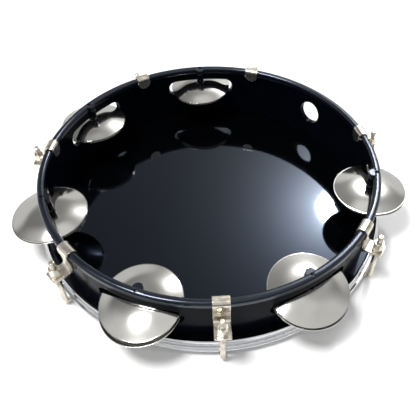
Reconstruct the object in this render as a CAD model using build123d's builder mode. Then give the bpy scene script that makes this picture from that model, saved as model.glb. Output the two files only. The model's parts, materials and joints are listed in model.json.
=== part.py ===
from build123d import *
import os
from math import cos, radians, sin, tan

# Headed tambourine, 10 inch, lying head down with its open side up. Millimetres, +Z up.
# The origin is at the centre of the drumhead's outer (playing) face. Angles are counter-clockwise
# from +X. Seven tension claws alternate round the frame with seven bays: six bays hold a stack of
# jingles in a slot, and the seventh has the thumb hole.

os.makedirs("parts", exist_ok=True)

# ---- driving dimensions -------------------------------------------------------------------------
BAYS = 7                        # bays round the frame, with one claw between each two
THUMB_BAY = 2                   # this bay has the thumb hole instead of jingles
FIRST_BAY_ANGLE = 144.7         # degrees, bay 0; the others follow clockwise
# how far each claw is clipped off the middle between its two bays, degrees, claw by claw
CLAW_SHIFT = (-0.8, 3.2, -3.6, 0.0, -1.8, -0.8, 0.5)

FILM = 0.4                      # drumhead film thickness, inward from its outer face at z 0
FILM_GAP = 0.05                 # between the film's collar and the frame's wall
FILM_TURN_R = 1.2               # the film's turn round the bearing edge
COLLAR_TOP = 7.4                # the collar folds outward over the flesh hoop here
COLLAR_INSET = 0.6              # the folded collar ends short of the flesh hoop's outer face
FLESH_HOOP_INNER_R, FLESH_HOOP_OUTER_R = 127.0, 131.0
FLESH_HOOP_EDGE_R = 0.6
FLESH_HOOP_GAP = 0.02           # between the flesh hoop and the lip that it rests on

RIM_TOP = 46.8                  # top of the frame's rim
RIM_OUTER_R = 127.0             # a 10 inch frame, measured over the rim bead
RIM_INNER_R = 121.4
RIM_BEAD_HEIGHT = 4.6
RIM_ROUND_R = 2.3
BEAD_SLOPE_OUTSIDE, BEAD_SLOPE_INSIDE = 0.7, 0.6        # height of the slopes below the bead
WALL_OUTER_R = 126.3
WALL_INNER_R = 122.0
BEARING_EDGE_Z = FILM           # the frame's lower edge, which the drumhead is pulled over
WALL_CUT = 16.0                 # depth of the cuts through the wall, from inside its inner face

PIN_CIRCLE_R = 123.8
PIN_R = 1.5
PIN_HOLE_R = 1.53
PIN_BOTTOM, PIN_TOP = 9.8, 44.4
PIN_CHAMFER = 0.3
BOSS_R = 3.5                    # rounded boss round each pin, at the rim
BOSS_CENTRE_R = 121.6
BOSS_TOP_GAP = 0.5              # the bosses end this far below the rim's top
RIB_R = 3.1                     # the thinner rib below the boss
RIB_BOTTOM = 7.8

SLOT_BOTTOM, SLOT_TOP = 21.6, 35.8
SLOT_LENGTH = 58.6
SLOT_CORNER_R = 6.4
THUMB_HOLE_R = 10.0
THUMB_HOLE_Z = 25.3

HOOP_BOTTOM = -3.2              # the face that the instrument rests on
HOOP_HEIGHT = 13.0
HOOP_OUTER_R = 132.6
HOOP_SHEET = 1.4
HOOP_LIP_INNER_R = 128.4        # the lip under the flesh hoop, which is also the face it rests on
HOOP_LIP = 1.8
FLANGE_OUTER_R = 135.2          # the flange that the hooks pull on
FLANGE_BOTTOM, FLANGE = 1.3, 1.5
HOOP_TOP_R, HOOP_FOOT_R, FLANGE_EDGE_R, FLANGE_ROOT_R = 0.65, 0.5, 0.7, 0.8     # rounded edges

CLAW_SHEET = 1.2
CLAW_WIDTH = 10.8
CLAW_GAP = 0.1                  # between the claw and the rim's top and outside
CLAW_INNER_GAP = 0.25           # more inside, where the flat leg faces the hollow of the ring
CLAW_BEND_R = 2.2               # inside radius of the two bends over the rim
CLAW_LEG_BOTTOM = 38.0          # tip of the inner leg
CLAW_TIP_HEIGHT = 4.2           # the leg's rounded end
JOGGLE_TOP, JOGGLE_BOTTOM = 41.4, 39.0      # the outer leg steps in below the rim's bead
LEDGE_Z = 30.4                  # top of the ledge that carries the nut
LEDGE_BEND_R = 2.4
LEDGE_OUTER_R = 141.2
LEDGE_CORNER = 1.0              # side of the squares that clip the ledge's corners
LEDGE_CUT = 6.0                 # depth of the cuts through the ledge, centred on its top
TIP_CUT = 5.0                   # depth of the cut through the inner leg's tip
ROD_R = 2.0                     # M4 rod
ROD_LEAN = 3.0                  # degrees, the rods lean inward at the top
ROD_FOOT_R = 138.4              # centre line where the rod meets its bend
ROD_TOP = 43.8
ROD_TIP_CHAMFER = 0.6
ROD_FLOOR_GAP = 0.25            # from the hook's underside to the surface the hoop rests on
HOOK_BEND_R = 3.0               # centre line of the bend
HOOK_TIP_R = 133.8
ROD_HOLE_R = 2.35
NUT_ACROSS_FLATS = 6.4
NUT_HEIGHT = 7.0
NUT_CORNER_R = 3.6              # over the hexagon's corners, turned down at both ends
NUT_CHAMFER = 0.45
NUT_BORE_R = 2.05
NUT_LIFT = 0.22                 # the leaning nut's lowest edge is just clear of the ledge

JINGLE_R = 27.0
JINGLE_SHEET = 0.7
JINGLE_RISE = 5.0               # overall height of one cup
JINGLE_BRIM = 0.4               # flat brim round each cup
JINGLE_HOLE_R = 3.4             # loose on the pin, so that the discs slide and lean
DOME_SHOULDER_R, DOME_SHOULDER_RISE = 0.55, 0.80        # shares of the dome's radius and rise
DOME_TOP_SLOPE, DOME_BRIM_SLOPE = 0.02, 0.30
DAMPER_R = 24.0
DAMPER_SHEET = 0.7
STACK_GAP = 0.12                # air between discs that lie on each other
# how each stack lies on its pin, bay by bay: the middle of the upper brim, its place outward, its
# lean in degrees with the outer side down, its tilt in degrees with the counter-clockwise side down,
# the air between damper and upper cup, and how far outward the lower cup and damper have slid
STACK_Z = {0: 28.6, 1: 28.6, 3: 28.8, 4: 29.3, 5: 30.3, 6: 28.3}
STACK_R = {0: 122.75, 1: 122.3, 3: 122.2, 4: 123.15, 5: 121.8, 6: 122.7}
STACK_LEAN = {0: 2.4, 1: -2.0, 3: -2.1, 4: 5.7, 5: 6.3, 6: 2.9}
STACK_TILT = {0: 0.7, 1: -2.8, 3: -1.9, 4: -0.7, 5: 3.4, 6: 2.0}
STACK_AIR = {0: 0.1, 1: 0.1, 3: 0.3, 4: 0.7, 5: 1.3, 6: 0.0}
LOWER_SHIFT = {0: 0.6, 1: 0.8, 3: 0.9, 4: 0.9, 5: 2.0, 6: 0.7}


def bay_angle(bay):
    return FIRST_BAY_ANGLE - bay * 360 / BAYS


def claw_angle(claw):
    return bay_angle(claw + 0.5) + CLAW_SHIFT[claw]


def upright(angle, radius=0.0, z=0.0):
    """A vertical plane through the axis: its x runs outward at this angle, its y runs up."""
    a = radians(angle)
    return Plane(
        origin=(radius * cos(a), radius * sin(a), z), x_dir=(cos(a), sin(a), 0), z_dir=(sin(a), -cos(a), 0)
    )


def facing(angle, radius, z=0.0):
    """A vertical plane that faces outward at this radius: its x runs along the wall, its y runs up."""
    a = radians(angle)
    return Plane(
        origin=(radius * cos(a), radius * sin(a), z), x_dir=(-sin(a), cos(a), 0), z_dir=(cos(a), sin(a), 0)
    )


def level(angle, radius, z):
    """A horizontal plane centred at this angle and radius: its x runs outward."""
    a = radians(angle)
    return Plane(origin=(radius * cos(a), radius * sin(a), z), x_dir=(cos(a), sin(a), 0), z_dir=(0, 0, 1))


def write(part, name):
    part.label = name
    export_step(part, f"parts/{name}.step")


jingle_bays = [bay for bay in range(BAYS) if bay != THUMB_BAY]

# ---- frame: moulded ring with a rounded rim bead, pin bosses, slots and a thumb hole ------------
bead_bottom = RIM_TOP - RIM_BEAD_HEIGHT
with BuildPart() as frame:
    with BuildSketch(Plane.XZ) as wall_section:
        with BuildLine():
            Polyline(
                (WALL_INNER_R, BEARING_EDGE_Z), (WALL_OUTER_R, BEARING_EDGE_Z), (WALL_OUTER_R, bead_bottom),
                (RIM_OUTER_R, bead_bottom + BEAD_SLOPE_OUTSIDE), (RIM_OUTER_R, RIM_TOP),
                (RIM_INNER_R, RIM_TOP), (RIM_INNER_R, bead_bottom + BEAD_SLOPE_INSIDE),
                (WALL_INNER_R, bead_bottom), (WALL_INNER_R, BEARING_EDGE_Z),
            )
        make_face()
        fillet(wall_section.vertices().group_by(Axis.Y)[-1], radius=RIM_ROUND_R)
        fillet(wall_section.vertices().group_by(Axis.Y)[0], radius=FILM_TURN_R)
    revolve(axis=Axis.Z)

    for bay in jingle_bays:
        with BuildSketch(level(bay_angle(bay), BOSS_CENTRE_R, bead_bottom)):
            Circle(BOSS_R)
        extrude(amount=RIM_BEAD_HEIGHT - BOSS_TOP_GAP)
        with BuildSketch(level(bay_angle(bay), BOSS_CENTRE_R, RIB_BOTTOM)):
            Circle(RIB_R)
        extrude(amount=bead_bottom - RIB_BOTTOM)

    for bay in jingle_bays:
        with BuildSketch(facing(bay_angle(bay), WALL_INNER_R - WALL_CUT / 2, (SLOT_BOTTOM + SLOT_TOP) / 2)):
            RectangleRounded(SLOT_LENGTH, SLOT_TOP - SLOT_BOTTOM, SLOT_CORNER_R)
        extrude(amount=WALL_CUT, mode=Mode.SUBTRACT)
        with BuildSketch(level(bay_angle(bay), PIN_CIRCLE_R, PIN_BOTTOM)):
            Circle(PIN_HOLE_R)
        extrude(amount=RIM_TOP, mode=Mode.SUBTRACT)

    with BuildSketch(facing(bay_angle(THUMB_BAY), WALL_INNER_R - WALL_CUT / 2, THUMB_HOLE_Z)):
        Circle(THUMB_HOLE_R)
    extrude(amount=WALL_CUT, mode=Mode.SUBTRACT)
write(frame.part, "frame")

# ---- drumhead: film stretched over the bearing edge, with a collar folded over the flesh hoop -----
film_inner_r = WALL_OUTER_R + FILM_GAP
film_outer_r = film_inner_r + FILM
collar_outer_r = FLESH_HOOP_OUTER_R - COLLAR_INSET
with BuildPart() as drumhead:
    with BuildSketch(Plane.XZ) as film_section:
        with BuildLine():
            Polyline(
                (0, BEARING_EDGE_Z), (film_inner_r, BEARING_EDGE_Z), (film_inner_r, COLLAR_TOP),
                (collar_outer_r, COLLAR_TOP), (collar_outer_r, COLLAR_TOP - FILM),
                (film_outer_r, COLLAR_TOP - FILM), (film_outer_r, BEARING_EDGE_Z - FILM),
                (0, BEARING_EDGE_Z - FILM), (0, BEARING_EDGE_Z),
            )
        make_face()
        outer_turn = film_section.vertices().sort_by_distance((film_outer_r, BEARING_EDGE_Z - FILM))[0]
        inner_turn = film_section.vertices().sort_by_distance((film_inner_r, BEARING_EDGE_Z))[0]
        fillet(outer_turn, radius=FILM_TURN_R + FILM)
        fillet(inner_turn, radius=FILM_TURN_R)
    revolve(axis=Axis.Z)
write(drumhead.part, "drumhead")

# ---- flesh hoop: the ring that the film is bonded to ----------------------------------------------
flesh_hoop_bottom = HOOP_BOTTOM + HOOP_LIP + FLESH_HOOP_GAP
flesh_hoop_top = COLLAR_TOP - FILM
with BuildPart() as flesh_hoop:
    with BuildSketch(Plane.XZ) as flesh_section:
        with BuildLine():
            Polyline(
                (FLESH_HOOP_INNER_R, flesh_hoop_bottom), (FLESH_HOOP_OUTER_R, flesh_hoop_bottom),
                (FLESH_HOOP_OUTER_R, flesh_hoop_top), (FLESH_HOOP_INNER_R, flesh_hoop_top),
                (FLESH_HOOP_INNER_R, flesh_hoop_bottom),
            )
        make_face()
        fillet(flesh_section.vertices().group_by(Axis.Y)[0], radius=FLESH_HOOP_EDGE_R)
    revolve(axis=Axis.Z)
write(flesh_hoop.part, "flesh_hoop")

# ---- counter hoop: rolled steel ring with an inner lip and the outer flange the hooks hold -----------
hoop_inner_r = HOOP_OUTER_R - HOOP_SHEET
hoop_top = HOOP_BOTTOM + HOOP_HEIGHT
lip_top = HOOP_BOTTOM + HOOP_LIP
with BuildPart() as counter_hoop:
    with BuildSketch(Plane.XZ) as hoop_section:
        with BuildLine():
            Polyline(
                (HOOP_LIP_INNER_R, HOOP_BOTTOM), (HOOP_OUTER_R, HOOP_BOTTOM),
                (HOOP_OUTER_R, FLANGE_BOTTOM), (FLANGE_OUTER_R, FLANGE_BOTTOM),
                (FLANGE_OUTER_R, FLANGE_BOTTOM + FLANGE), (HOOP_OUTER_R, FLANGE_BOTTOM + FLANGE),
                (HOOP_OUTER_R, hoop_top), (hoop_inner_r, hoop_top), (hoop_inner_r, lip_top),
                (HOOP_LIP_INNER_R, lip_top), (HOOP_LIP_INNER_R, HOOP_BOTTOM),
            )
        make_face()
        fillet(hoop_section.vertices().group_by(Axis.Y)[-1], radius=HOOP_TOP_R)
        fillet(hoop_section.vertices().group_by(Axis.X)[-1], radius=FLANGE_EDGE_R)
        root_corner = hoop_section.vertices().sort_by_distance((HOOP_OUTER_R, FLANGE_BOTTOM + FLANGE))[0]
        fillet(root_corner, radius=FLANGE_ROOT_R)
        fillet(hoop_section.vertices().group_by(Axis.Y)[0], radius=HOOP_FOOT_R)
        fillet(hoop_section.vertices().group_by(Axis.X)[0].group_by(Axis.Y)[-1], radius=HOOP_FOOT_R)
    revolve(axis=Axis.Z)
write(counter_hoop.part, "counter_hoop")

# ---- tension claws: a bent strap over the rim, with a ledge for the nut ---------------------------
leg_inner_r = RIM_INNER_R - CLAW_INNER_GAP      # the inner leg's face towards the rim
leg_outer_r = RIM_OUTER_R + CLAW_GAP            # the outer leg's face towards the bead
leg_wall_r = WALL_OUTER_R + CLAW_GAP            # and towards the wall, below the joggle
claw_top = RIM_TOP + CLAW_GAP + CLAW_SHEET
leg_z = HOOP_BOTTOM + ROD_FLOOR_GAP + ROD_R     # centre line of the hook's curled end
bend_z = leg_z + HOOK_BEND_R


def rod_r(z):
    """How far outward the leaning rod's centre line is at this height."""
    return ROD_FOOT_R - (z - bend_z) * tan(radians(ROD_LEAN))


def rod_plane(angle, z):
    """A vertical plane through the axis whose y runs up along the rod, from this height."""
    lean = Location((rod_r(z), z, 0), (0, 0, ROD_LEAN))
    return Plane(upright(angle).location * lean)


def across(plane):
    """The plane square to this one's y, at the same origin."""
    return Plane(origin=plane.origin, x_dir=plane.x_dir, z_dir=plane.y_dir)


def make_claw(angle):
    with BuildPart() as claw:
        with BuildSketch(upright(angle)) as strap:
            with BuildLine():
                Polyline(
                    (leg_inner_r - CLAW_SHEET, CLAW_LEG_BOTTOM), (leg_inner_r - CLAW_SHEET, claw_top),
                    (leg_outer_r + CLAW_SHEET, claw_top), (leg_outer_r + CLAW_SHEET, JOGGLE_TOP),
                    (leg_wall_r + CLAW_SHEET, JOGGLE_BOTTOM), (leg_wall_r + CLAW_SHEET, LEDGE_Z),
                    (LEDGE_OUTER_R, LEDGE_Z), (LEDGE_OUTER_R, LEDGE_Z - CLAW_SHEET),
                    (leg_wall_r, LEDGE_Z - CLAW_SHEET), (leg_wall_r, JOGGLE_BOTTOM),
                    (leg_outer_r, JOGGLE_TOP), (leg_outer_r, claw_top - CLAW_SHEET),
                    (leg_inner_r, claw_top - CLAW_SHEET), (leg_inner_r, CLAW_LEG_BOTTOM),
                    (leg_inner_r - CLAW_SHEET, CLAW_LEG_BOTTOM),
                )
            make_face()
            top_corners = strap.vertices().group_by(Axis.Y)[-1]
            fillet(top_corners, radius=CLAW_BEND_R + CLAW_SHEET)
            under_top = claw_top - CLAW_SHEET
            fillet([v for v in strap.vertices() if abs(v.Y - under_top) < 0.01], radius=CLAW_BEND_R)
            ledge_inside = [
                v for v in strap.vertices() if abs(v.Y - LEDGE_Z) < 0.01 and v.X < LEDGE_OUTER_R - 1
            ]
            fillet(ledge_inside, radius=LEDGE_BEND_R)
            ledge_outside = [
                v for v in strap.vertices()
                if abs(v.Y - LEDGE_Z + CLAW_SHEET) < 0.01 and v.X < LEDGE_OUTER_R - 1
            ]
            fillet(ledge_outside, radius=LEDGE_BEND_R + CLAW_SHEET)
        extrude(amount=CLAW_WIDTH / 2, both=True)
        # rounded tip on the inner leg, and clipped corners on the ledge
        with BuildSketch(facing(angle, leg_inner_r + 1 - TIP_CUT, CLAW_LEG_BOTTOM)):
            Rectangle(CLAW_WIDTH + 2, CLAW_TIP_HEIGHT, align=(Align.CENTER, Align.MIN))
            with Locations((0, CLAW_TIP_HEIGHT)):
                Ellipse(CLAW_WIDTH / 2, CLAW_TIP_HEIGHT, mode=Mode.SUBTRACT)
        extrude(amount=TIP_CUT, mode=Mode.SUBTRACT)
        with BuildSketch(level(angle, LEDGE_OUTER_R, LEDGE_Z - LEDGE_CUT / 2)):
            for side in (-1, 1):
                with Locations((0, side * CLAW_WIDTH / 2)):
                    Rectangle(LEDGE_CORNER, LEDGE_CORNER, rotation=45)
        extrude(amount=LEDGE_CUT, mode=Mode.SUBTRACT)
        with BuildSketch(level(angle, rod_r(LEDGE_Z), LEDGE_Z - LEDGE_CUT / 2)):
            Circle(ROD_HOLE_R)
        extrude(amount=LEDGE_CUT, mode=Mode.SUBTRACT)
    return claw.part


# ---- hooks: a threaded rod that passes through the ledge and curls under the hoop's flange ----------
def make_hook(angle):
    lean = radians(ROD_LEAN)
    foot_z = bend_z + HOOK_BEND_R * sin(lean)
    bend_r = rod_r(foot_z) - HOOK_BEND_R * cos(lean)
    with BuildPart() as hook:
        with BuildLine(upright(angle)) as route:
            Line((rod_r(ROD_TOP), ROD_TOP), (rod_r(foot_z), foot_z))
            CenterArc((bend_r, bend_z), HOOK_BEND_R, ROD_LEAN, -90 - ROD_LEAN)
            Line((bend_r, leg_z), (HOOK_TIP_R, leg_z))
        with BuildSketch(across(rod_plane(angle, ROD_TOP))):
            Circle(ROD_R)
        sweep(path=route.wire())
        rims = hook.edges().filter_by(GeomType.CIRCLE)
        chamfer(rims.group_by(Axis.Z)[-1], length=ROD_TIP_CHAMFER)
    return hook.part


def make_nut(angle):
    seat = rod_plane(angle, LEDGE_Z + NUT_LIFT)
    face_r = NUT_ACROSS_FLATS / 2
    with BuildPart() as nut:
        with BuildSketch(across(seat)):
            RegularPolygon(face_r, 6, major_radius=False)
            Circle(NUT_BORE_R, mode=Mode.SUBTRACT)
        extrude(amount=NUT_HEIGHT)
        # turned corners, top and bottom
        with BuildSketch(seat):
            with BuildLine():
                Polyline(
                    (0, 0), (face_r, 0), (NUT_CORNER_R, NUT_CHAMFER),
                    (NUT_CORNER_R, NUT_HEIGHT - NUT_CHAMFER), (face_r, NUT_HEIGHT), (0, NUT_HEIGHT), (0, 0),
                )
            make_face()
        revolve(axis=Axis(seat.origin, seat.y_dir), mode=Mode.INTERSECT)
    return nut.part


for claw in range(BAYS):
    write(make_claw(claw_angle(claw)), f"claw_{claw + 1}")
    write(make_hook(claw_angle(claw)), f"hook_{claw + 1}")
    write(make_nut(claw_angle(claw)), f"nut_{claw + 1}")

# ---- jingles: two pressed cups, brim to brim, with a flat damper disc between them, on a pin -------
def cup_section(plane):
    """Half the section of a cup that stands brim down: its brim's underside is at y 0, its axis at x 0."""
    dome_r = JINGLE_R - JINGLE_BRIM
    rise = JINGLE_RISE - JINGLE_SHEET
    shoulder_r, shoulder_y = DOME_SHOULDER_R * dome_r, DOME_SHOULDER_RISE * rise
    with BuildSketch(plane) as section:
        with BuildLine():
            Line((JINGLE_HOLE_R, rise), (JINGLE_HOLE_R, JINGLE_RISE))
            Spline((JINGLE_HOLE_R, JINGLE_RISE), (shoulder_r, shoulder_y + JINGLE_SHEET),
                   (dome_r, JINGLE_SHEET), tangents=((1, -DOME_TOP_SLOPE), (1, -DOME_BRIM_SLOPE)))
            Line((dome_r, JINGLE_SHEET), (JINGLE_R, JINGLE_SHEET))
            Line((JINGLE_R, JINGLE_SHEET), (JINGLE_R, 0))
            Line((JINGLE_R, 0), (dome_r, 0))
            Spline((dome_r, 0), (shoulder_r, shoulder_y), (JINGLE_HOLE_R, rise),
                   tangents=((-1, DOME_BRIM_SLOPE), (-1, DOME_TOP_SLOPE)))
        make_face()
    return section


def stack_plane(bay, outward=0.0, up=0.0):
    """A vertical plane that leans with the stack, from the middle of the upper cup's brim."""
    middle = upright(bay_angle(bay), STACK_R[bay], STACK_Z[bay]).location
    lean = Location((0, 0, 0), (STACK_TILT[bay], 0, -STACK_LEAN[bay]))
    return Plane(middle * lean * Location((outward, up, 0)))


def make_cup(plane, upside_down):
    half_turn = Location((0, 0, 0), (180 if upside_down else 0, 0, 0))
    with BuildPart() as cup:
        add(cup_section(Plane(plane.location * half_turn)).sketch)
        revolve(axis=Axis(plane.origin, plane.y_dir))
    return cup.part


def make_damper(plane):
    with BuildPart() as damper:
        with BuildSketch(across(plane)):
            Circle(DAMPER_R)
            Circle(JINGLE_HOLE_R, mode=Mode.SUBTRACT)
        extrude(amount=DAMPER_SHEET)
    return damper.part


for number, bay in enumerate(jingle_bays, start=1):
    upper_brim = -JINGLE_SHEET / 2
    damper_underside = upper_brim - STACK_GAP - STACK_AIR[bay] - DAMPER_SHEET
    lower_brim = damper_underside - STACK_GAP
    shift = LOWER_SHIFT[bay]
    write(make_cup(stack_plane(bay, 0, upper_brim), False), f"upper_jingle_{number}")
    write(make_damper(stack_plane(bay, shift, damper_underside)), f"damper_disc_{number}")
    write(make_cup(stack_plane(bay, shift, lower_brim), True), f"lower_jingle_{number}")

    with BuildPart() as jingle_pin:
        with BuildSketch(level(bay_angle(bay), PIN_CIRCLE_R, PIN_BOTTOM)):
            Circle(PIN_R)
        extrude(amount=PIN_TOP - PIN_BOTTOM)
        chamfer(jingle_pin.edges().filter_by(GeomType.CIRCLE), length=PIN_CHAMFER)
    write(jingle_pin.part, f"jingle_pin_{number}")
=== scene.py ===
import json
import math

import bmesh
import bpy
from mathutils import Matrix, Vector


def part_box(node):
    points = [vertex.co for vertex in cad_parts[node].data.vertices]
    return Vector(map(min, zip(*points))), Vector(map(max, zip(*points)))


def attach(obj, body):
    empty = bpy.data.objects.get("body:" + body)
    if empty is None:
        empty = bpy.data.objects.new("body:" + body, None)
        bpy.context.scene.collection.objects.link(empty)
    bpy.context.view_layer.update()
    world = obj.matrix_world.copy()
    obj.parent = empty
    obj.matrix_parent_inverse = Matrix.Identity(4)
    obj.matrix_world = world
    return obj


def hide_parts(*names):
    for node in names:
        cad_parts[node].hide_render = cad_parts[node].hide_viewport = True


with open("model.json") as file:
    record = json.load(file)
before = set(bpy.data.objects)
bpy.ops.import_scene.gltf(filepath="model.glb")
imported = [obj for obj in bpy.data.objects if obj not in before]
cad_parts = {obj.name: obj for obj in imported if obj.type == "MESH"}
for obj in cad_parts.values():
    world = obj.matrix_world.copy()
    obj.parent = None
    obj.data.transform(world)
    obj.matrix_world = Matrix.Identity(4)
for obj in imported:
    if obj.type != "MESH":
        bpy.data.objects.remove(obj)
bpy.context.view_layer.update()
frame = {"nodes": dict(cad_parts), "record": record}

# Headed tambourine, lying head down on a pale floor. Metres, in the row frame.
nodes_by_name = frame["nodes"]
record = frame["record"]
floor_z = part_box("counter_hoop")[0].z

BEAD_HEIGHT = 0.0048                      # the rim bead, measured down from the rim's top
BEAD_BLEND = 0.0006                       # half the height of the change from wall to bead gloss
BEAD_GLOSS = 0.65
WALL_GLOSS = 0.03
rim_bead_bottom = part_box("frame")[1].z - BEAD_HEIGHT

# ---- materials -------------------------------------------------------------------------------


class Surface:
    """A node material with one Principled shader, and short calls for the textures that feed it."""

    def __init__(self, name, colour, metallic, roughness):
        self.material = bpy.data.materials.new(name)
        self.material.use_nodes = True
        tree = self.material.node_tree
        self.nodes, self.links = tree.nodes, tree.links
        self.shader = self.nodes["Principled BSDF"]
        self.shader.inputs["Base Color"].default_value = (*colour, 1)
        self.shader.inputs["Metallic"].default_value = metallic
        self.shader.inputs["Roughness"].default_value = roughness
        self.coord = self.nodes.new("ShaderNodeTexCoord")

    def round_edges(self, radius):
        """Softens the shading of sharp edges over this radius, in metres."""
        bevel = self.nodes.new("ShaderNodeBevel")
        bevel.samples = 6
        bevel.inputs["Radius"].default_value = radius
        self.links.new(bevel.outputs["Normal"], self.shader.inputs["Normal"])

    def set(self, **values):
        for name, value in values.items():
            self.shader.inputs[name.replace("_", " ")].default_value = value

    def noise(self, scale, detail=3.0, source="Object", stretch=None):
        """Noise whose features are about 1/scale metres across; stretch squeezes it along an axis."""
        vector = self.coord.outputs[source]
        if stretch:
            mapping = self.nodes.new("ShaderNodeMapping")
            mapping.inputs["Scale"].default_value = stretch
            self.links.new(vector, mapping.inputs["Vector"])
            vector = mapping.outputs["Vector"]
        texture = self.nodes.new("ShaderNodeTexNoise")
        texture.inputs["Scale"].default_value = scale
        texture.inputs["Detail"].default_value = detail
        self.links.new(vector, texture.inputs["Vector"])
        return texture.outputs["Fac"]

    def from_middle(self):
        """The level vector from the middle of the piece's own box."""
        centred = self.nodes.new("ShaderNodeVectorMath")
        centred.operation = "SUBTRACT"
        centred.inputs[1].default_value = (0.5, 0.5, 0.5)
        self.links.new(self.coord.outputs["Generated"], centred.inputs[0])
        flat = self.nodes.new("ShaderNodeVectorMath")
        flat.operation = "MULTIPLY"
        flat.inputs[1].default_value = (1, 1, 0)
        self.links.new(centred.outputs[0], flat.inputs[0])
        return flat.outputs[0]

    def rings(self, scale, detail=2.0):
        """Noise along the radius only, in circles round the middle of the piece's own box."""
        radius = self.nodes.new("ShaderNodeVectorMath")
        radius.operation = "LENGTH"
        self.links.new(self.from_middle(), radius.inputs[0])
        texture = self.nodes.new("ShaderNodeTexNoise")
        texture.noise_dimensions = "1D"
        texture.inputs["Scale"].default_value = scale
        texture.inputs["Detail"].default_value = detail
        self.links.new(radius.outputs["Value"], texture.inputs["W"])
        return texture.outputs["Fac"]

    def ramp(self, value, low, high, start=0.3, end=0.7):
        """value, from start to end, becomes a number from low to high."""
        spread = self.nodes.new("ShaderNodeMapRange")
        spread.inputs["From Min"].default_value = start
        spread.inputs["From Max"].default_value = end
        spread.inputs["To Min"].default_value = low
        spread.inputs["To Max"].default_value = high
        self.links.new(value, spread.inputs["Value"])
        return spread.outputs["Result"]

    def roughness(self, value, low, high):
        self.links.new(self.ramp(value, low, high), self.shader.inputs["Roughness"])

    def colour(self, value, dark, light, start=0.3, end=0.7):
        mix = self.nodes.new("ShaderNodeMix")
        mix.data_type = "RGBA"
        mix.inputs["A"].default_value = (*dark, 1)
        mix.inputs["B"].default_value = (*light, 1)
        self.links.new(self.ramp(value, 0, 1, start, end), mix.inputs["Factor"])
        self.links.new(mix.outputs["Result"], self.shader.inputs["Base Color"])

    def bump(self, value, depth, strength=1.0):
        """Adds relief of this depth, in metres; a second call goes on top of the first."""
        relief = self.nodes.new("ShaderNodeBump")
        relief.inputs["Distance"].default_value = depth
        relief.inputs["Strength"].default_value = strength
        self.links.new(value, relief.inputs["Height"])
        before = self.shader.inputs["Normal"].links
        if before:
            self.links.new(before[0].from_socket, relief.inputs["Normal"])
        self.links.new(relief.outputs["Normal"], self.shader.inputs["Normal"])


def shell_plastic():
    """Black moulded plastic with handling haze: a glossy rim bead over a duller wall."""
    s = Surface("shell_black_plastic", (0.002, 0.002, 0.003), 0.0, 0.22)
    s.round_edges(0.0004)
    s.colour(s.noise(60), (0.0008, 0.0012, 0.0028), (0.0016, 0.0024, 0.0052))
    s.roughness(s.noise(90, 5), 0.15, 0.26)
    s.bump(s.noise(1400, 2), 0.00001, 0.4)
    place = s.nodes.new("ShaderNodeSeparateXYZ")
    s.links.new(s.coord.outputs["Object"], place.inputs[0])
    blend_start, blend_end = rim_bead_bottom - BEAD_BLEND, rim_bead_bottom + BEAD_BLEND
    gloss = s.ramp(place.outputs["Z"], WALL_GLOSS, BEAD_GLOSS, blend_start, blend_end)
    s.links.new(gloss, s.shader.inputs["Specular IOR Level"])
    s.set(IOR=1.55, Specular_IOR_Level=0.3, Specular_Tint=(0.70, 0.80, 1.0, 1))
    return s.material


def head_film():
    """Black polyester film, mirror smooth, with the faintest haze."""
    s = Surface("head_black_film", (0.0006, 0.0007, 0.0010), 0.0, 0.06)
    s.roughness(s.noise(25, 4), 0.03, 0.09)
    s.set(IOR=1.58, Specular_Tint=(0.60, 0.74, 1.0, 1))
    return s.material


def flesh_plastic():
    s = Surface("flesh_hoop_plastic", (0.012, 0.012, 0.013), 0.0, 0.5)
    s.roughness(s.noise(300), 0.42, 0.6)
    s.bump(s.noise(900), 0.00003)
    return s.material


def hoop_chrome():
    """Bright chrome plate over rolled strip: nearly a mirror, with faint drawing lines."""
    s = Surface("hoop_chrome_plate", (0.80, 0.81, 0.83), 1.0, 0.1)
    s.roughness(s.noise(120, 4), 0.05, 0.16)
    s.bump(s.noise(700, 2, stretch=(0.05, 0.05, 3.0)), 0.00002, 0.6)
    return s.material


def warm_nickel(name, low, high, grain):
    """Nickel plate with a warm cast, fine grain and dulled patches."""
    s = Surface(name, (0.72, 0.68, 0.58), 1.0, 0.22)
    s.round_edges(0.00035)
    s.colour(s.noise(180, 4), (0.54, 0.49, 0.40), (0.88, 0.835, 0.755))
    s.roughness(s.noise(260, 5), low, high)
    s.bump(s.noise(grain, 3), 0.00003, 0.5)
    return s.material


def jingle_nickel():
    """Spun and polished sheet: a satin gloss whose highlights are drawn out across the spinning marks."""
    s = Surface("jingle_polished_nickel", (0.73, 0.72, 0.68), 1.0, 0.14)
    s.round_edges(0.0003)
    s.colour(s.noise(55, 4), (0.63, 0.62, 0.585), (0.71, 0.70, 0.67))
    s.roughness(s.noise(45, 4), 0.10, 0.17)
    s.bump(s.rings(90, 3), 0.00002, 0.12)
    outward = s.nodes.new("ShaderNodeVectorMath")
    outward.operation = "NORMALIZE"
    s.links.new(s.from_middle(), outward.inputs[0])
    s.links.new(outward.outputs[0], s.shader.inputs["Tangent"])
    s.set(Anisotropic=0.5)
    return s.material


def stamped_steel(name, tone, low, high):
    s = Surface(name, tone, 1.0, 0.35)
    s.colour(s.noise(150, 4), tuple(0.8 * c for c in tone), tone)
    s.roughness(s.noise(400, 4), low, high)
    s.bump(s.noise(1500, 2), 0.00002)
    return s.material


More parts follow.
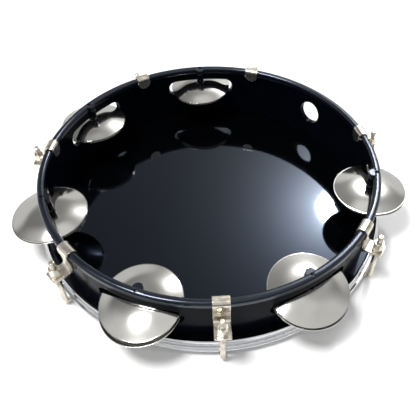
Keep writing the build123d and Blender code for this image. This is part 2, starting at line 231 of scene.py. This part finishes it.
slot_materials = {
    "shell": shell_plastic(),
    "film": head_film(),
    "flesh_ring": flesh_plastic(),
    "hoop_chrome": hoop_chrome(),
    "claw_nickel": warm_nickel("claw_warm_nickel", 0.14, 0.30, 900),
    "rod_nickel": warm_nickel("rod_warm_nickel", 0.22, 0.36, 1600),
    "nut_nickel": warm_nickel("nut_warm_nickel", 0.18, 0.32, 1200),
    "jingle_steel": jingle_nickel(),
    "damper_steel": stamped_steel("damper_sheet_steel", (0.46, 0.45, 0.43), 0.3, 0.5),
    "pin_steel": stamped_steel("pin_drawn_steel", (0.50, 0.50, 0.50), 0.25, 0.4),
}
for subpart in record["subparts"]:
    mesh = nodes_by_name[subpart["node"]].data
    mesh.materials.clear()
    mesh.materials.append(slot_materials[subpart["material_slot"]])

# ---- hooks with their threads: meshes that stand for the plain rods of the frame ------------------

ROD_RADIUS = 0.002
BEND_RADIUS = 0.003
HOOK_TIP_LENGTH = 0.0016                  # from the bend's end to the hook's tip
HOOK_TIP_EDGE = 0.0002                    # its broken edge
THREAD_PITCH = 0.0007
THREAD_DEPTH = 0.00026
THREAD_LENGTH = 0.0245
THREAD_RUNOUT = 0.002                     # over this length the thread fades into the plain rod
GROOVE_HALF_WIDTH = 0.42                  # of the groove, as a share of the pitch
ROD_CHAMFER = 0.0006
ROD_TAPER = 0.0005                        # the thread's first turn is thinner, over this length
ROD_SIDES = 28
RINGS_PER_TURN = 8
BEND_STEPS = 12


def rod_line(claw):
    """A point on the rod's centre line and its direction upward, from the nut's joint in the record."""
    for joint in record["behaviour"]["joints"]:
        if joint["name"] == f"nut_turn_{claw}":
            return Vector(joint["pos_m"]), Vector(joint["axis"]).normalized()


def make_threaded_hook(claw):
    start, rise = rod_line(claw)
    outward = Vector((start.x, start.y, 0)).normalized()
    side = Vector((0, 0, 1)).cross(outward)
    lean = math.asin(-rise.dot(outward))
    low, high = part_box(f"hook_{claw}")
    top_z = high.z - (ROD_RADIUS - ROD_CHAMFER) * math.sin(lean)
    leg_z = low.z + ROD_RADIUS
    square = outward * math.cos(lean) + Vector((0, 0, math.sin(lean)))      # outward, square to the rod
    mesh = bmesh.new()
    sections = []

    def ring(centre, across, radii):
        """One closed section: across and side span its plane."""
        row = []
        for k in range(ROD_SIDES):
            turn = 2 * math.pi * k / ROD_SIDES
            offset = across * math.cos(turn) + side * math.sin(turn)
            row.append(mesh.verts.new(centre + offset * radii[k]))
        sections.append(row)

    def on_rod(z):
        return start + rise * ((z - start.z) / rise.z)

    plain = [ROD_RADIUS] * ROD_SIDES
    step = THREAD_PITCH / RINGS_PER_TURN
    for n in range(int(THREAD_LENGTH / step) + 1):
        from_tip = n * step
        taper = min(1.0, from_tip / ROD_TAPER)
        fade = min(1.0, (THREAD_LENGTH - from_tip) / THREAD_RUNOUT)
        radii = []
        for k in range(ROD_SIDES):
            phase = (from_tip / THREAD_PITCH + k / ROD_SIDES) % 1.0
            groove = max(0.0, 1.0 - abs(phase - 0.5) / GROOVE_HALF_WIDTH)
            radii.append(ROD_RADIUS - THREAD_DEPTH * groove * fade - ROD_TAPER * (1 - taper))
        ring(on_rod(top_z) - rise * from_tip, square, radii)
    foot = on_rod(leg_z + BEND_RADIUS + BEND_RADIUS * math.sin(lean))
    middle = foot - square * BEND_RADIUS
    for n in range(BEND_STEPS + 1):
        a = lean - (math.pi / 2 + lean) * n / BEND_STEPS
        across = outward * math.cos(a) + Vector((0, 0, math.sin(a)))
        ring(middle + across * BEND_RADIUS, across, plain)
    down = Vector((0, 0, -1))
    end = middle + down * BEND_RADIUS - outward * HOOK_TIP_LENGTH
    ring(end + outward * HOOK_TIP_EDGE, down, plain)
    ring(end, down, [ROD_RADIUS - HOOK_TIP_EDGE] * ROD_SIDES)
    for above, below in zip(sections, sections[1:]):
        for k in range(ROD_SIDES):
            mesh.faces.new((above[k], above[(k + 1) % ROD_SIDES], below[(k + 1) % ROD_SIDES], below[k]))
    mesh.faces.new(sections[0])
    mesh.faces.new(list(reversed(sections[-1])))
    bmesh.ops.recalc_face_normals(mesh, faces=mesh.faces)
    data = bpy.data.meshes.new(f"threaded_hook_{claw}")
    mesh.to_mesh(data)
    mesh.free()
    for face in data.polygons:
        face.use_smooth = len(face.vertices) == 4
    data.materials.append(slot_materials["rod_nickel"])
    hook = bpy.data.objects.new(f"threaded_hook_{claw}", data)
    bpy.context.scene.collection.objects.link(hook)
    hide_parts(f"hook_{claw}")
    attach(hook, f"hook_{claw}")


for claw in range(1, 8):
    make_threaded_hook(claw)

# ---- floor, light and camera --------------------------------------------------------------------

FLOOR_HALF = 4.0
LAMP_AZIMUTH = math.radians(21.7)         # from +Y towards +X
LAMP_HEIGHT_ANGLE = math.radians(46.1)
LAMP_AIM = Vector((0.1, -0.011, 0.0))     # the lamp stands in its direction from this place on the head
LAMP_DISTANCE = 1.6
LAMP_RADIUS = 0.075
LAMP_POWER = 7.0
HALO_ANGLE = math.radians(4.0)
HALO_STRENGTH = 20.0
HALO_FALLOFF = 1.3
WALL_LIGHT = 0.66                         # brightness of the room, by part
CEILING_LIGHT = 0.75
BACK_LIGHT = 0.20
FRONT_LIGHT = 0.12
BACKDROP_LIGHT = 0.92                     # the room as it is seen directly, a plain pale backdrop
CEILING_Z = (0.90, 0.98)                  # where each part begins and is full, as directions
BACK_Y, BACK_Z = (0.0, 0.4), (0.42, 0.58)
FRONT_Y, FRONT_Z = (-0.15, -0.6), (0.6, 0.35)
OVERHEAD_PLACE = (-0.5, -0.15, 1.4)
OVERHEAD_SIZE = 0.42
OVERHEAD_POWER = 18.5
CAMERA_LENS, CAMERA_SENSOR = 40.27, 36.0  # millimetres
CAMERA_SHIFT = (-0.0538, 0.0514)
CAMERA_BACK, CAMERA_ABOVE_FLOOR = 0.2675, 0.2888
CAMERA_YAW, CAMERA_PITCH, CAMERA_ROLL = math.radians(3.72), math.radians(50.69), math.radians(0.81)


def direction(azimuth, height_angle):
    flat = math.cos(height_angle)
    return Vector((math.sin(azimuth) * flat, math.cos(azimuth) * flat, math.sin(height_angle)))


lamp_direction = direction(LAMP_AZIMUTH, LAMP_HEIGHT_ANGLE)


def make_floor():
    mesh = bpy.data.meshes.new("floor")
    corners = [(sx * FLOOR_HALF, sy * FLOOR_HALF, floor_z) for sx, sy in ((-1, -1), (1, -1), (1, 1), (-1, 1))]
    mesh.from_pydata(corners, [], [(0, 1, 2, 3)])
    floor = bpy.data.objects.new("floor", mesh)
    bpy.context.scene.collection.objects.link(floor)
    s = Surface("floor_pale", (0.88, 0.88, 0.88), 0.0, 0.6)
    s.set(Specular_IOR_Level=0.2)
    mesh.materials.append(s.material)


def make_world():
    """Pale walls and ceiling, dimmer behind and in front of the object, and a halo round the lamp."""
    world = bpy.data.worlds.new("studio")
    bpy.context.scene.world = world
    world.use_nodes = True
    nodes, links = world.node_tree.nodes, world.node_tree.links
    background = nodes["Background"]
    coord = nodes.new("ShaderNodeTexCoord")

    def maths(operation, a, b=None):
        node = nodes.new("ShaderNodeMath")
        node.operation = operation
        for socket, value in zip(node.inputs, (a, b)):
            if value is None:
                continue
            if isinstance(value, (int, float)):
                socket.default_value = value
            else:
                links.new(value, socket)
        return node.outputs[0]

    def smooth(value, zone):
        """0 before the zone, 1 past it."""
        node = nodes.new("ShaderNodeMapRange")
        node.interpolation_type = "SMOOTHSTEP"
        node.inputs["From Min"].default_value = zone[0]
        node.inputs["From Max"].default_value = zone[1]
        links.new(value, node.inputs["Value"])
        return node.outputs["Result"]

    split = nodes.new("ShaderNodeSeparateXYZ")
    links.new(coord.outputs["Generated"], split.inputs[0])
    dot = nodes.new("ShaderNodeVectorMath")
    dot.operation = "DOT_PRODUCT"
    dot.inputs[1].default_value = lamp_direction
    links.new(coord.outputs["Generated"], dot.inputs[0])
    angle = maths("ARCCOSINE", maths("MINIMUM", dot.outputs["Value"], 0.99999))
    spread = maths("POWER", maths("DIVIDE", angle, HALO_ANGLE), 2)
    halo = maths("DIVIDE", HALO_STRENGTH, maths("POWER", maths("ADD", spread, 1), HALO_FALLOFF))

    def blend(first, second, share):
        """first where share is 0, second where it is 1."""
        kept = maths("MULTIPLY", first, maths("SUBTRACT", 1.0, share))
        return maths("ADD", kept, maths("MULTIPLY", second, share))

    y, z = split.outputs["Y"], split.outputs["Z"]
    ceiling = smooth(z, CEILING_Z)
    back = maths("MULTIPLY", smooth(y, BACK_Y), smooth(z, BACK_Z))
    front = maths("MULTIPLY", smooth(y, FRONT_Y), smooth(z, FRONT_Z))
    room = blend(blend(WALL_LIGHT, BACK_LIGHT, back), FRONT_LIGHT, front)
    room = blend(room, CEILING_LIGHT, ceiling)
    seen_directly = nodes.new("ShaderNodeLightPath").outputs["Is Camera Ray"]
    links.new(blend(maths("ADD", room, halo), BACKDROP_LIGHT, seen_directly), background.inputs["Strength"])
    background.inputs["Color"].default_value = (1, 1, 1, 1)


def disk_light(name, place, target, size, power):
    data = bpy.data.lights.new(name, "AREA")
    data.shape = "DISK"
    data.size = size
    data.energy = power
    light = bpy.data.objects.new(name, data)
    light.location = place
    light.rotation_mode = "QUATERNION"
    light.rotation_quaternion = (Vector(target) - Vector(place)).to_track_quat("-Z", "Y")
    bpy.context.scene.collection.objects.link(light)


def make_camera():
    """The photograph's point of view: a short lens close over the near edge, looking down at the head."""
    data = bpy.data.cameras.new("camera")
    data.sensor_width = CAMERA_SENSOR
    data.lens = CAMERA_LENS
    data.shift_x, data.shift_y = CAMERA_SHIFT
    data.clip_start = 0.01
    forward = direction(CAMERA_YAW, -CAMERA_PITCH)
    right = Vector((math.cos(CAMERA_YAW), -math.sin(CAMERA_YAW), 0))
    up = right.cross(forward)
    turned_right = math.cos(CAMERA_ROLL) * right + math.sin(CAMERA_ROLL) * up
    turned_up = -math.sin(CAMERA_ROLL) * right + math.cos(CAMERA_ROLL) * up
    camera = bpy.data.objects.new("camera", data)
    turn = Matrix((turned_right, turned_up, -forward)).transposed().to_4x4()
    camera.matrix_world = Matrix.Translation((0, -CAMERA_BACK, floor_z + CAMERA_ABOVE_FLOOR)) @ turn
    bpy.context.scene.collection.objects.link(camera)
    bpy.context.scene.camera = camera


make_floor()
make_world()
disk_light("lamp", LAMP_AIM + lamp_direction * LAMP_DISTANCE, LAMP_AIM, 2 * LAMP_RADIUS, LAMP_POWER)
disk_light("overhead", OVERHEAD_PLACE, (0, 0, 0), OVERHEAD_SIZE, OVERHEAD_POWER)
make_camera()
bpy.context.scene.view_settings.view_transform = "Standard"
